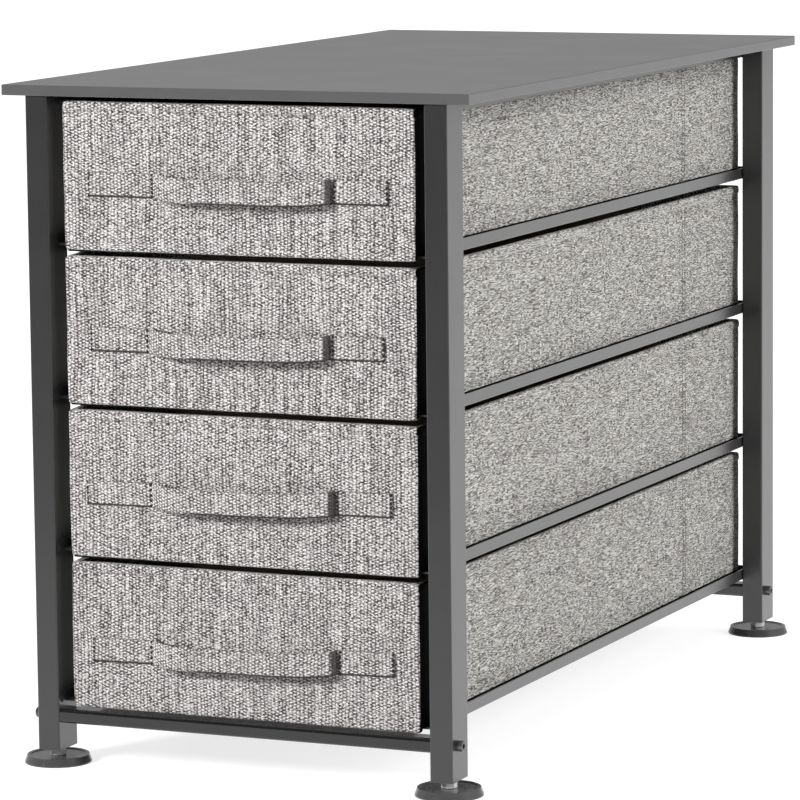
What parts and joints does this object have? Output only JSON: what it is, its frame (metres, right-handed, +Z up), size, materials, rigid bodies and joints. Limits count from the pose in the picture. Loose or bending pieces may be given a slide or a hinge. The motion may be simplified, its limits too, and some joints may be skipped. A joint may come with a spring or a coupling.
{
  "type": "dresser",
  "caption": "Slim dresser: fabric drawers with sewn strap pulls slide in a dark steel frame under a flat top, on round feet that screw in and out.",
  "frame": {"origin": "on the floor under the middle of the top board", "axes": "+Z up, +Y to the rear so that the drawers open towards -Y, +X to the right of someone who faces the drawers"},
  "size_m": [0.4, 0.7762, 0.5457],
  "materials": {
    "board": "fibreboard with a dark charcoal laminate, semi-gloss",
    "frame_paint": "steel with charcoal powder coat, satin",
    "cover_fabric": "heathered light warm grey weave",
    "strap_fabric": "the same weave folded and pressed flat",
    "fibreboard": "plain pressed board",
    "foot_plastic": "dark grey moulded plastic, satin",
    "black_plastic": "matt",
    "zinc": "bright zinc plate",
    "black_steel": "black oxide, semi-gloss"
  },
  "bodies": {
    "frame": {"top_board": "board", "post_front_left": "frame_paint", "post_front_right": "frame_paint", "post_rear_left": "frame_paint", "post_rear_right": "frame_paint", "post_plugs": "black_plastic", "front_rail": "frame_paint", "rear_rail": "frame_paint", "rail_inserts": "zinc", "corner_bolts": "black_steel", "top_angle_left": "frame_paint", "top_angle_right": "frame_paint", "board_screws": "zinc", "runner_left_1": "frame_paint", "runner_left_2": "frame_paint", "runner_left_3": "frame_paint", "runner_left_4": "frame_paint", "runner_right_1": "frame_paint", "runner_right_2": "frame_paint", "runner_right_3": "frame_paint", "runner_right_4": "frame_paint"},
    "drawer_1": {"drawer_1_cover": "cover_fabric", "drawer_1_front_board": "fibreboard", "drawer_1_rear_board": "fibreboard", "drawer_1_left_board": "fibreboard", "drawer_1_right_board": "fibreboard", "drawer_1_base_board": "fibreboard", "drawer_1_pull": "strap_fabric"},
    "drawer_2": {"drawer_2_cover": "cover_fabric", "drawer_2_front_board": "fibreboard", "drawer_2_rear_board": "fibreboard", "drawer_2_left_board": "fibreboard", "drawer_2_right_board": "fibreboard", "drawer_2_base_board": "fibreboard", "drawer_2_pull": "strap_fabric"},
    "drawer_3": {"drawer_3_cover": "cover_fabric", "drawer_3_front_board": "fibreboard", "drawer_3_rear_board": "fibreboard", "drawer_3_left_board": "fibreboard", "drawer_3_right_board": "fibreboard", "drawer_3_base_board": "fibreboard", "drawer_3_pull": "strap_fabric"},
    "drawer_4": {"drawer_4_cover": "cover_fabric", "drawer_4_front_board": "fibreboard", "drawer_4_rear_board": "fibreboard", "drawer_4_left_board": "fibreboard", "drawer_4_right_board": "fibreboard", "drawer_4_base_board": "fibreboard", "drawer_4_pull": "strap_fabric"},
    "disc_front_left": {"foot_disc_front_left": "foot_plastic"},
    "stud_front_left": {"foot_stud_front_left": "zinc"},
    "disc_front_right": {"foot_disc_front_right": "foot_plastic"},
    "stud_front_right": {"foot_stud_front_right": "zinc"},
    "disc_rear_left": {"foot_disc_rear_left": "foot_plastic"},
    "stud_rear_left": {"foot_stud_rear_left": "zinc"},
    "disc_rear_right": {"foot_disc_rear_right": "foot_plastic"},
    "stud_rear_right": {"foot_stud_rear_right": "zinc"}
  },
  "joints": [
    {"name": "drawer_1_slide", "type": "slide", "parent": "frame", "child": "drawer_1", "axis": [0, -1, 0], "range_m": [0, 0.45]},
    {"name": "drawer_2_slide", "type": "slide", "parent": "frame", "child": "drawer_2", "axis": [0, -1, 0], "range_m": [0, 0.45]},
    {"name": "drawer_3_slide", "type": "slide", "parent": "frame", "child": "drawer_3", "axis": [0, -1, 0], "range_m": [0, 0.45]},
    {"name": "drawer_4_slide", "type": "slide", "parent": "frame", "child": "drawer_4", "axis": [0, -1, 0], "range_m": [0, 0.45]},
    {"name": "foot_front_left_lift", "type": "slide", "parent": "frame", "child": "disc_front_left", "axis": [0, 0, -1], "range_m": [0, 0.007]},
    {"name": "foot_front_left_turn", "type": "hinge", "parent": "disc_front_left", "child": "stud_front_left", "pos_m": [-0.171, -0.361, 0.0122], "axis": [0, 0, -1], "range_deg": [0, 2160]},
    {"name": "foot_front_right_lift", "type": "slide", "parent": "frame", "child": "disc_front_right", "axis": [0, 0, -1], "range_m": [0, 0.007]},
    {"name": "foot_front_right_turn", "type": "hinge", "parent": "disc_front_right", "child": "stud_front_right", "pos_m": [0.171, -0.361, 0.0122], "axis": [0, 0, -1], "range_deg": [0, 2160]},
    {"name": "foot_rear_left_lift", "type": "slide", "parent": "frame", "child": "disc_rear_left", "axis": [0, 0, -1], "range_m": [0, 0.007]},
    {"name": "foot_rear_left_turn", "type": "hinge", "parent": "disc_rear_left", "child": "stud_rear_left", "pos_m": [-0.171, 0.361, 0.0122], "axis": [0, 0, -1], "range_deg": [0, 2160]},
    {"name": "foot_rear_right_lift", "type": "slide", "parent": "frame", "child": "disc_rear_right", "axis": [0, 0, -1], "range_m": [0, 0.007]},
    {"name": "foot_rear_right_turn", "type": "hinge", "parent": "disc_rear_right", "child": "stud_rear_right", "pos_m": [0.171, 0.361, 0.0122], "axis": [0, 0, -1], "range_deg": [0, 2160]}
  ],
  "couplings": [
    {"joint": "foot_front_left_turn", "follows": "foot_front_left_lift", "rad_per_m": 5026.5},
    {"joint": "foot_front_right_turn", "follows": "foot_front_right_lift", "rad_per_m": 5026.5},
    {"joint": "foot_rear_left_turn", "follows": "foot_rear_left_lift", "rad_per_m": 5026.5},
    {"joint": "foot_rear_right_turn", "follows": "foot_rear_right_lift", "rad_per_m": 5026.5}
  ]
}
